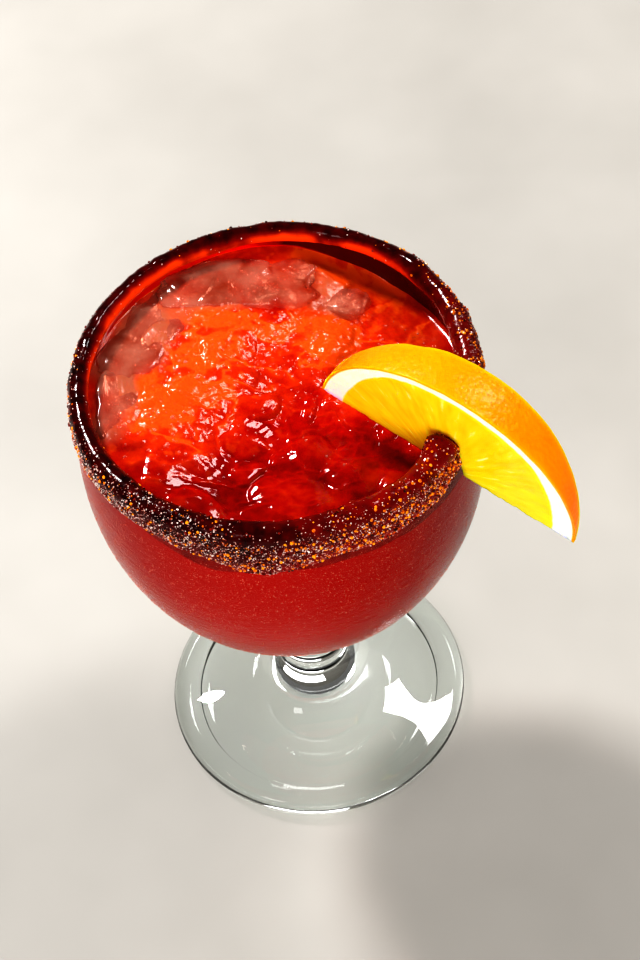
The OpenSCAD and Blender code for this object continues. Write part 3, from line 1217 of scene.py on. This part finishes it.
    def build(self) -> bpy.types.Object:
        """Make the body of the drink, closed, reaching just into the glass.

        Returns:
            The piece.
        """
        angle = full_turn(self.around)
        edge_r = self.goblet.lip_r - self.goblet.lip_t / 2
        edge_z, _ = self.surface(edge_r * np.cos(angle), edge_r * np.sin(angle))
        floor_z = self.goblet.bowl_z - (self.goblet.bowl_depth - self.goblet.floor_t)
        share = np.linspace(0.02, 1, 46)[:, None] ** 1.6
        side_z = floor_z + (edge_z[None, :] - floor_z) * share
        side_r = self.goblet.inner(side_z) + self.into_wall
        side = around_axis(side_r, angle, side_z)
        inwards = (1 - np.linspace(0, 1, self.rings + 1)[1:-1]) ** 0.82
        top_r = (side_r[-1] - 0.05)[None, :] * inwards[:, None]
        x, y = top_r * np.cos(angle), top_r * np.sin(angle)
        top_z, values = self.surface(x, y)
        rings = np.concatenate([side, np.stack([x, y, top_z], -1)])
        middle = np.zeros(1)
        centre_z, centre_values = self.surface(middle, middle)
        skin = stack_of_rings(
            rings, np.array([0, 0, floor_z - self.into_wall]), np.array([0, 0, centre_z[0]])
        )
        for label in values:
            side_part = np.zeros(side.shape[:2])
            ends = np.array([0.0, centre_values[label][0]])
            skin.values[label] = np.concatenate([side_part.ravel(), values[label].ravel(), ends])
        wall = np.zeros(len(skin.points))
        wall[: side[:-1].shape[0] * self.around] = np.repeat(share[:-1, 0], self.around)
        skin.values["wall"] = wall
        on_wall = np.zeros(len(skin.quads), int)
        on_wall[: (len(side) - 2) * self.around] = 1
        ends = np.concatenate([np.ones(self.around, int), np.zeros(self.around, int)])
        skin.face_slots = np.concatenate([on_wall, ends])
        piece = new_piece("drink_body", skin, [IcedDrink().material(), DrinkAtGlass().material()])
        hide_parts("drink")
        return piece

    def ice_slabs(self) -> bpy.types.Object:
        """Lay slabs of melting ice at the back and the left: squarish pebbles, dented by noise.

        Returns:
            The piece.
        """
        shape = pebble(30, 64, 0.5)
        rng = np.random.default_rng(self.seed + 1)
        parts = []
        for number, slab in enumerate(SLABS):
            points = shape.points * np.array([slab.half_l, slab.half_w, slab.half_t])
            dent = cloud(points * np.array([1, 1, 2.0]) + number * 50, 7.0, 101 + number, 3)[:, None]
            points = points * (1 + 0.2 * dent) + 0.3 * dent
            lean = rng.normal(0, 0.05, 2)
            tilt = Matrix.Rotation(lean[0], 3, "X") @ Matrix.Rotation(lean[1], 3, "Y")
            spin = Matrix.Rotation(math.radians(slab.turn), 3, "Z") @ tilt
            points = points @ np.array(spin).T
            z, _ = self.surface(np.array([slab.x]), np.array([slab.y]))
            centre = np.array([slab.x, slab.y, z[0] - slab.half_t * 0.78])
            parts.append(Surface(points + centre, shape.quads, shape.triangles))
        piece = new_piece("ice_slabs", join(parts), [MeltingIce().material()])
        return piece

    def bubbles(self, rng: np.random.Generator) -> bpy.types.Object:
        """Scatter small bubbles on the wet surface, gathered where the slush is frothy.

        Args:
            rng: Source of the random draws.

        Returns:
            The piece.
        """
        count = self.bubble_tries
        r = self.bubble_reach * np.sqrt(rng.uniform(size=count))
        turn = rng.uniform(0, 2 * np.pi, count)
        x, y = r * np.cos(turn), r * np.sin(turn)
        z, values = self.surface(x, y)
        flat = np.stack([x, y, np.zeros_like(x)], -1)
        at_slabs = 4 * values["slab"] * (1 - values["slab"])
        clusters = ease(0.25 + 0.6 * cloud(flat, 6, 43, 2)) * (values["ice"] - 0.05 + at_slabs)
        keep = rng.uniform(size=count) < clusters * 0.8
        x, y, z = x[keep], y[keep], z[keep]
        radius = 0.2 + 0.45 * rng.uniform(size=len(x)) ** 2.5
        normals = np.tile([0.0, 0.0, 1.0], (len(x), 1))
        turns = upright_turns(normals, rng.uniform(0, 6.28, len(x)))
        sizes = np.stack([radius, radius, radius * 0.9], -1)
        surface = copies(dome(4, 8), np.stack([x, y, z], -1), turns, sizes)
        piece = new_piece("bubbles", surface, [WaterBead("bubble_skin", "#FFD8C8").material()])
        return piece


# ------------------------------------------------------------------ rim sauce


@dataclass
class RimSauce:
    """Thick sauce over the lip with salt and chili grains, and the film it leaves inside."""

    goblet: Goblet
    drink: Drink
    thickness: float = 2.05
    reach_min: float = 5.6
    inside: float = 5.0
    into_glass: float = 0.12
    sections: int = 900
    path_steps: int = 58

    def reach(self, turn: Array) -> Array:
        """Return how far the sauce hangs down the outside: a long lobe in front, waves elsewhere.

        Args:
            turn: Directions about the axis in radians.

        Returns:
            The length in millimetres.
        """
        degrees = np.degrees(np.angle(np.exp(1j * turn)))
        dip = 3.4 * bump_at(degrees + 60, 45) + 5.2 * bump_at(degrees + 95, 13)
        ring = around_axis(1.0, turn, 0.0) * 54
        return self.reach_min + dip + 0.9 * cloud(ring, 13, 3, 4)

    @staticmethod
    def far_left(turn: Array) -> Array:
        """Return 1 at the back left of the rim, where the sauce inside is made thinner and painted glowing,
        as if light shone through it.
        """
        return ease(0.5 + 0.8 * np.cos(turn - np.radians(125)))

    def path(self, turn: Array, share: Array) -> tuple[Array, Array, Array]:
        """Follow the glass from the sauce's lower edge outside, over the lip, and down inside.

        Args:
            turn: Direction of each section.
            share: How far along the path, from 0 to 1.

        Returns:
            Radius and height on the glass, and the direction away from it, as angle.
        """
        g = self.goblet
        bead = g.lip_t / 2
        out_len = self.reach(turn)
        ring = around_axis(1.0, turn, 2.0) * 50
        in_len = self.inside * (1 - 0.72 * self.far_left(turn)) + 0.7 * cloud(ring, 15, 8, 2)
        lip_len = np.pi * bead
        along = share * (out_len + lip_len + in_len)
        over = np.clip((along - out_len) / lip_len, 0, 1) * np.pi
        z_out = g.lip_z - out_len + np.minimum(along, out_len)
        z_in = g.lip_z - np.clip(along - out_len - lip_len, 0, None)
        r = np.where(along < out_len, g.outer(z_out), g.lip_r + bead * np.cos(over))
        r = np.where(along > out_len + lip_len, g.inner(z_in), r)
        z = np.where(along < out_len, z_out, g.lip_z + bead * np.sin(over))
        z = np.where(along > out_len + lip_len, z_in, z)
        return r, z, over

    def crust(self, turn: Array, share: Array) -> tuple[Array, Array]:
        """Return points on the sauce's own skin and the direction away from the glass there.

        Args:
            turn: Directions about the axis in radians.
            share: How far along the path, from 0 to 1.

        Returns:
            The points and the directions.
        """
        r, z, over = self.path(turn, share)
        ends = 0.16 + 0.84 * np.clip(np.sin(np.pi * share), 0, 1) ** 0.4
        ring = around_axis(r, turn, z)
        degrees = np.degrees(turn)
        pile = bump_at(degrees + 35.5, 4.2) * np.clip(np.sin(over), 0, 1)
        swell = 1 + 0.16 * cloud(ring, 8, 21, 2) + 0.1 * cloud(ring, 2.6, 23, 2) + 1.5 * pile
        outside = ease((0.62 - share) * 5)
        grit = 0.16 * cloud(ring, 0.9, 27, 2) * outside
        inner_half = np.clip(-np.cos(over), 0, 1) ** 0.7
        t = self.thickness * ends * swell * (1 - 0.68 * inner_half * self.far_left(turn)) + grit
        t = t + pile * (0.8 * cloud(ring, 2.2, 29, 3))
        points = around_axis(r + t * np.cos(over), turn, z + t * np.sin(over))
        normals = around_axis(np.cos(over), turn, np.sin(over))
        return points, normals

    def build(self) -> bpy.types.Object:
        """Make the sauce as a ring of closed sections: its own skin, then back along the glass.

        Returns:
            The piece.
        """
        turn = full_turn(self.sections)[:, None]
        share = np.linspace(0, 1, self.path_steps)[None, :]
        turn = np.where(turn > np.pi, turn - 2 * np.pi, turn)
        turn_grid, share_grid = np.broadcast_arrays(turn, share)
        skin, _ = self.crust(turn_grid, share_grid)
        back_share = np.linspace(0.97, 0.03, 12)[None, :]
        turn_back, share_back = np.broadcast_arrays(turn, back_share)
        r, z, over = self.path(turn_back, share_back)
        r = r - self.into_glass * np.cos(over)
        z = z - self.into_glass * np.sin(over)
        back = around_axis(r, turn_back, z)
        rings = np.concatenate([skin, back], 1)
        quads = band_faces(rings.shape[0], rings.shape[1], True, True)
        surface = Surface(rings.reshape(-1, 3), quads).outward()
        ends = np.concatenate([1 - np.sin(np.pi * share_grid) ** 0.5, np.ones(back.shape[:2])], 1)
        grit = np.concatenate([ease((0.66 - share_grid) * 4), np.zeros(back.shape[:2])], 1)
        right = 0.22 * ease(1.2 * np.cos(turn + np.radians(28)) - 0.2)
        inner_half = np.concatenate([ease((share_grid - 0.68) * 6), np.ones(back.shape[:2])], 1)
        streaks = 0.8 + 0.6 * cloud(rings * np.array([1, 1, 0.3]), 8, 33, 3)
        # painted glow: the thinned inner half at the back left is painted bright orange-red, as if light
        # shone through it
        painted_glow_at_back = 0.9 * inner_half * self.far_left(turn) * np.clip(streaks, 0, 1)
        surface.values["thin_and_painted_glow"] = np.clip(ends * 0.3 + right + painted_glow_at_back, 0, 1).ravel()
        surface.values["grit"] = grit.ravel()
        piece = new_piece("rim_sauce_coat", surface, [SeasonedSauce().material()])
        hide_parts("rim_sauce")
        return piece

    def grains(
        self,
        name: str,
        rng: np.random.Generator,
        count: int,
        sizes: tuple[float, float],
        grain: Grain,
        shape: Surface,
        side_deg: float,
        sunk: float,
    ) -> bpy.types.Object:
        """Press one kind of grain into the sauce, thickest on the outside slope.

        Args:
            name: Name of the piece.
            rng: Source of the random places.
            count: How many grains are tried.
            sizes: Smallest and largest radius in millimetres.
            grain: The grain's finish.
            shape: The grain's shape.
            side_deg: Direction in which the grains lie thickest.
            sunk: Share of a grain's radius by which its centre lies under the skin.

        Returns:
            The piece.
        """
        turn = rng.uniform(-np.pi, np.pi, count)
        share = np.clip(rng.beta(1.25, 1.7, count), 0.015, 0.97)
        front = ease(0.5 + 0.5 * np.cos(turn + np.radians(70)))
        outside = 0.05 + 0.95 * ease((0.64 + 0.04 * front - share) * 5)
        at_pile = bump_at(np.degrees(turn) + 36, 5) * (share < 0.75)
        outside = np.maximum(outside, at_pile)
        side = 0.25 + 0.75 * ease(0.5 + 0.5 * np.cos(turn - np.radians(side_deg))) ** 2
        keep = rng.uniform(size=count) < outside * side
        turn, share = turn[keep], share[keep]
        points, normals = self.crust(turn, share)
        radius = sizes[0] + (sizes[1] - sizes[0]) * rng.uniform(size=len(turn)) ** 2.2
        places = points - normals * (radius * sunk)[:, None]
        spread = rng.uniform(0.75, 1.15, (len(turn), 3)) * radius[:, None]
        surface = copies(shape, places, random_turns(rng, len(turn)), spread)
        piece = new_piece(name, surface, [grain.material()], smooth=False)
        return piece

    def film(self) -> bpy.types.Object:
        """Make the film inside the glass: a thin shell from under the sauce down to the drink.

        Returns:
            The piece.
        """
        g = self.goblet
        around, down = 640, 34
        turn = full_turn(around)[:, None]
        top_z = g.lip_z - 0.4
        edge_r = g.lip_r - g.lip_t / 2 - 0.6
        low_z, _ = self.drink.surface(edge_r * np.cos(turn), edge_r * np.sin(turn))
        share = np.linspace(0, 1, down)[None, :]
        z = top_z + (low_z - 1.2 - top_z) * share
        r = g.inner(z)
        ring = around_axis(r, turn, z)
        thick = 0.28 + 0.14 * cloud(ring * np.array([1, 1, 0.35]), 5, 61, 3)
        inner_r = r - np.clip(thick, 0.08, 1)
        front = around_axis(inner_r, turn, z)
        back = around_axis(r + 0.1, turn, z)[:, ::-1]
        rings = np.concatenate([front, back], 1)
        surface = Surface(rings.reshape(-1, 3), band_faces(around, 2 * down, True, True)).outward()
        # painted glow and shade: the film is painted bright at the back left, most along its lower edge, as
        # if light came through it, and painted dark elsewhere
        left = ease(1.3 * np.cos(turn - np.radians(140)) - 0.3)
        painted_glow = ease((share - 0.45) * 2.2) * (0.15 + 0.75 * left) + 0.25 * left - 0.4 * (1 - left)
        surface.values["painted_glow"] = np.concatenate([painted_glow, painted_glow[:, ::-1]], 1).ravel()
        piece = new_piece("sauce_film", surface, [SauceFilm().material()])
        return piece


# ------------------------------------------------------------------ orange wedge


@dataclass
class OrangeWedge:
    """A wedge cut from an orange, with a slit that straddles the coated rim."""

    goblet: Goblet
    radius: float = 40.0
    angle: float = 20.5
    core: float = 3.6
    strip_w: float = 1.2
    rim_dir: float = -30.2
    yaw: float = -4.6
    droop: float = 12.7
    lean: float = 2.5
    shift: float = -0.9
    slit_h: float = 13.8
    coat_t: float = 2.1
    steps_along: int = 250
    face_steps: int = 74
    peel_steps: int = 42

    def __post_init__(self) -> None:
        """Work out where the middle of the inner edge lies and how the wedge is turned."""
        a = math.radians(self.rim_dir)
        rim_point = Vector((self.goblet.lip_r * math.cos(a), self.goblet.lip_r * math.sin(a), 0))
        rim_point.z = self.goblet.height + self.coat_t - self.slit_h
        self.turn = (
            Matrix.Rotation(math.radians(self.rim_dir + self.yaw), 3, "Z")
            @ Matrix.Rotation(math.radians(self.droop), 3, "Y")
            @ Matrix.Rotation(math.radians(-self.lean), 3, "X")
        )
        self.middle = rim_point + self.turn @ Vector((self.shift, 0, 0))
        self.centre = self.middle + self.turn @ Vector((0, 0, -self.core))

    def blank(self) -> Surface:
        """Make the wedge before its slit: closed sections across its length, from tip to tip.

        Each section runs up one cut face, across the peel and down the other. Juice sacs swell
        the faces, the rind stays crisp, and the peel is faintly lumpy.

        Returns:
            The wedge, closed and in place.
        """
        half = math.radians(self.angle / 2)
        long_r = math.sqrt(self.radius**2 - self.core**2)
        x = -np.cos(np.linspace(0.045, np.pi - 0.045, self.steps_along)) * long_r
        up = np.linspace(0.0, 1.0, self.face_steps)
        across = np.linspace(-1, 1, self.peel_steps)[1:-1]
        face = np.ones(self.face_steps)
        lean_angle = np.concatenate([-face, across, face]) * half
        rise = np.concatenate([up, np.ones(len(across)), up[::-1]])
        offset = self.core * np.sin(lean_angle)
        circle = np.sqrt(np.clip(self.radius**2 - offset[None, :] ** 2 - x[:, None] ** 2, 0, None))
        peel_g = np.clip(circle - self.core * np.cos(lean_angle), 0.02, None)
        g = peel_g * rise
        strip = lean_angle / half * self.strip_w / 2 * (1 - rise) ** 2
        parts = x[:, None], g * np.sin(lean_angle) + strip, g * np.cos(lean_angle)
        points = np.stack(np.broadcast_arrays(*parts), -1)
        centre = np.array([0, 0, -self.core])
        depth = self.radius - np.linalg.norm(points - centre, axis=-1)
        on_face = (np.abs(np.abs(lean_angle) - half) < 1e-6)[None, :]
        flesh = ease((depth - 3.2 - 4 * ease((np.abs(points[..., 0]) - 20) / 18)) / 1.2) * on_face
        bearing = np.arctan2(points[..., 0], points[..., 2] + self.core)
        fan = np.stack([bearing * 26, (self.radius - depth) * 0.2, points[..., 1] * 0.5], -1)
        sacs = np.abs(cloud(fan, 2.4, 201, 2))
        face_out = np.where(on_face, np.sign(lean_angle)[None, :], 0.0)
        thickness = self.strip_w + 2 * g * math.tan(half)
        relief = flesh * (0.25 - 0.22 * sacs) + 0.12 * cloud(points, 5, 205, 2) * on_face
        relief = relief * ease(thickness / 3.5)
        ragged = 0.35 * cloud(points, 1.6, 209, 2) * (rise < 0.04)
        points[..., 1] += face_out * relief
        points[..., 2] += ragged - 0.4 * (rise < 0.02)
        outwards = (points - centre) / np.linalg.norm(points - centre, axis=-1)[..., None]
        peel_lump = np.where(on_face & (rise < 0.99)[None, :], 0.0, 0.16 * cloud(points, 6, 211, 2) - 0.12)
        points += outwards * peel_lump[..., None]
        first = np.array([-long_r + 0.02, 0, 0.01])
        last = np.array([long_r - 0.02, 0, 0.01])
        surface = stack_of_rings(points, first, last)
        place = np.array(self.turn)
        surface.points = surface.points @ place.T + np.array(self.middle)
        return surface

    def rim_room(self) -> Surface:
        """Return the ring that the coated rim takes up, as a revolved loop through the wedge.

        Returns:
            The closed ring.
        """
        g = self.goblet
        half_w = g.lip_t / 2 + self.coat_t - 0.25
        bottom = g.lip_z - 24
        arc = Goblet.arc((g.lip_r, g.lip_z), half_w, half_w, 0, 180, 25)
        loop = np.concatenate([arc, [[g.lip_r - half_w, bottom], [g.lip_r + half_w, bottom]]])
        loop[-1, 0] += 2.2
        loop[-2, 0] += 2.2
        turn = np.radians(np.linspace(self.rim_dir - 24, self.rim_dir + 24, 49))[:, None]
        rings = around_axis(loop[:, 0], turn, loop[:, 1])
        return stack_of_rings(rings, rings[0].mean(0), rings[-1].mean(0))

    def build(self) -> bpy.types.Object:
        """Cut the slit out of the wedge and dress it.

        Returns:
            The piece.
        """
        finish = FreshOrange(self.centre * MM, self.radius, self.turn)
        piece = new_piece("orange_wedge_cut", self.blank(), [finish.material()])
        cutter = new_piece("rim_room", self.rim_room(), [])
        cut = piece.modifiers.new("slit", "BOOLEAN")
        cut.operation = "DIFFERENCE"
        cut.object = cutter
        cut.solver = "MANIFOLD"
        graph = bpy.context.evaluated_depsgraph_get()
        mesh = bpy.data.meshes.new_from_object(piece.evaluated_get(graph))
        piece.modifiers.clear()
        old = piece.data
        piece.data = mesh
        bpy.data.meshes.remove(old)
        bpy.data.objects.remove(cutter)
        mesh.name = piece.name
        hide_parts("orange_wedge")
        return piece


# ------------------------------------------------------------------ studio


@dataclass
class Studio:
    """Pale floor, soft lights and the camera that looks down on the glass."""

    aim: tuple[float, float, float] = (32.76, 0.0, 110.87)
    distance: float = 616.66
    elevation: float = 52.95
    roll: float = -4.17
    lens: float = 80.0
    shift_x: float = -0.0875
    floor_gap: float = 0.15
    floor_reach_m: float = 2.2
    floor_bend_m: float = 0.5
    floor_top_m: float = 1.8
    lit_h: float = 120.0
    backdrop_strength: float = 0.14

    def floor(self) -> None:
        """Lay a large floor that curves up far behind."""
        edge, bend = self.floor_reach_m, self.floor_bend_m
        t = np.linspace(0, np.pi / 2, 12)
        y = np.concatenate([[-edge], edge - bend + bend * np.sin(t), [edge]])
        z = np.concatenate([[0.0], bend - bend * np.cos(t), [self.floor_top_m]]) - self.floor_gap * MM
        points = np.stack(np.broadcast_arrays(np.array([-edge, edge]), y[:, None], z[:, None]), -1)
        quads = band_faces(len(y), 2, False, False)
        mesh = bpy.data.meshes.new("floor")
        mesh.from_pydata(points.reshape(-1, 3).tolist(), [], quads.tolist())
        mesh.polygons.foreach_set("use_smooth", np.full(len(quads), True))
        mesh.update()
        floor = bpy.data.objects.new("floor", mesh)
        bpy.context.scene.collection.objects.link(floor)
        mesh.materials.append(PaleFloor().material())

    def softbox(
        self, name: str, azimuth: float, elevation: float, far: float, size: tuple[float, float], power: float
    ) -> bpy.types.Object:
        """Hang a rectangular soft light that faces the bowl, and return it.

        Args:
            name: Name of the light.
            azimuth: Direction of the light in degrees.
            elevation: Height of the light in degrees.
            far: Distance from the bowl in metres.
            size: Width and height in metres.
            power: Power in watts.

        Returns:
            The light.
        """
        data = bpy.data.lights.new(name, "AREA")
        data.shape = "RECTANGLE"
        data.size, data.size_y = size
        data.energy = power
        light = bpy.data.objects.new(name, data)
        a, e = math.radians(azimuth), math.radians(elevation)
        target = Vector((0, 0, self.lit_h * MM))
        way = Vector((math.cos(a) * math.cos(e), math.sin(a) * math.cos(e), math.sin(e)))
        light.location = target + far * way
        light.rotation_euler = (target - light.location).to_track_quat("-Z", "Y").to_euler()
        bpy.context.scene.collection.objects.link(light)
        return light

    def lights(self) -> None:
        """Set a key and a window at the back, broad fills in front and behind, and a small glint."""
        self.softbox("key", 132, 48, 1.3, (0.22, 0.18), 12)
        self.softbox("window", 31, 54, 1.4, (0.3, 0.4), 6)
        self.softbox("fill", -100, 21, 1.6, (1.2, 0.8), 19).visible_glossy = False
        self.softbox("back_fill", 80, 16, 1.7, (1.2, 0.6), 6).visible_glossy = False
        self.softbox("glint", -128, 38, 1.5, (0.3, 0.3), 1.2)
        world = bpy.data.worlds.new("studio")
        world.use_nodes = True
        backdrop = world.node_tree.nodes["Background"]
        backdrop.inputs["Color"].default_value = linear("#F0EEEC")
        backdrop.inputs["Strength"].default_value = self.backdrop_strength
        bpy.context.scene.world = world
        bpy.context.scene.view_settings.view_transform = "Standard"
        bpy.context.scene.view_settings.look = "Very High Contrast"
        bpy.context.scene.cycles.caustics_refractive = False
        bpy.context.scene.cycles.caustics_reflective = False

    def camera(self) -> None:
        """Stand the camera at the viewing angle, rolled a little."""
        e, r = math.radians(self.elevation), math.radians(self.roll)
        back = Vector((0, -math.cos(e), math.sin(e)))
        right = Vector((1, 0, 0))
        up = back.cross(right).normalized()
        across = math.cos(r) * right + math.sin(r) * up
        upward = math.cos(r) * up - math.sin(r) * right
        data = bpy.data.cameras.new("camera")
        data.lens = self.lens
        data.shift_x = self.shift_x
        data.clip_start, data.clip_end = 0.01, 20.0
        camera = bpy.data.objects.new("camera", data)
        axes = Matrix((across, upward, back)).transposed().to_4x4()
        camera.matrix_world = Matrix.Translation(Vector(self.aim) * MM + back * self.distance * MM) @ axes
        bpy.context.scene.collection.objects.link(camera)
        bpy.context.scene.camera = camera


def main() -> None:
    """Build every piece in order and report each one."""
    logging.basicConfig(level=logging.INFO, format="%(name)s: %(message)s")
    studio = Studio()
    studio.camera()
    studio.floor()
    studio.lights()
    goblet = Goblet.from_frame()
    goblet.build()
    goblet.dew(np.random.default_rng(3))
    drink = Drink(goblet)
    drink.build()
    drink.ice_slabs()
    drink.bubbles(np.random.default_rng(5))
    sauce = RimSauce(goblet, drink)
    sauce.build()
    sauce.film()
    rng = np.random.default_rng(7)
    salt = Grain("coarse_salt", "#FFF2EA", "#D89080", 0.2, 0.08)
    chili = Grain("chili_granules", "#FFAA28", "#D0640C", 0.0, 0.25)
    spice = Grain("ground_dried_chili", "#8A1E0C", "#2A0505", 0.0, 0.3)
    sauce.grains("salt_grains", rng, 15000, (0.1, 0.34), salt, crystal(rng), -112, 0.05)
    sauce.grains("chili_grains", rng, 4200, (0.16, 0.6), chili, pebble(4, 6, 0.8), -20, 0.2)
    sauce.grains("spice_flecks", rng, 8000, (0.16, 0.5), spice, crystal(rng), -60, 0.1)
    wedge = OrangeWedge(goblet)
    wedge.build()


if __name__ == "__main__":
    main()
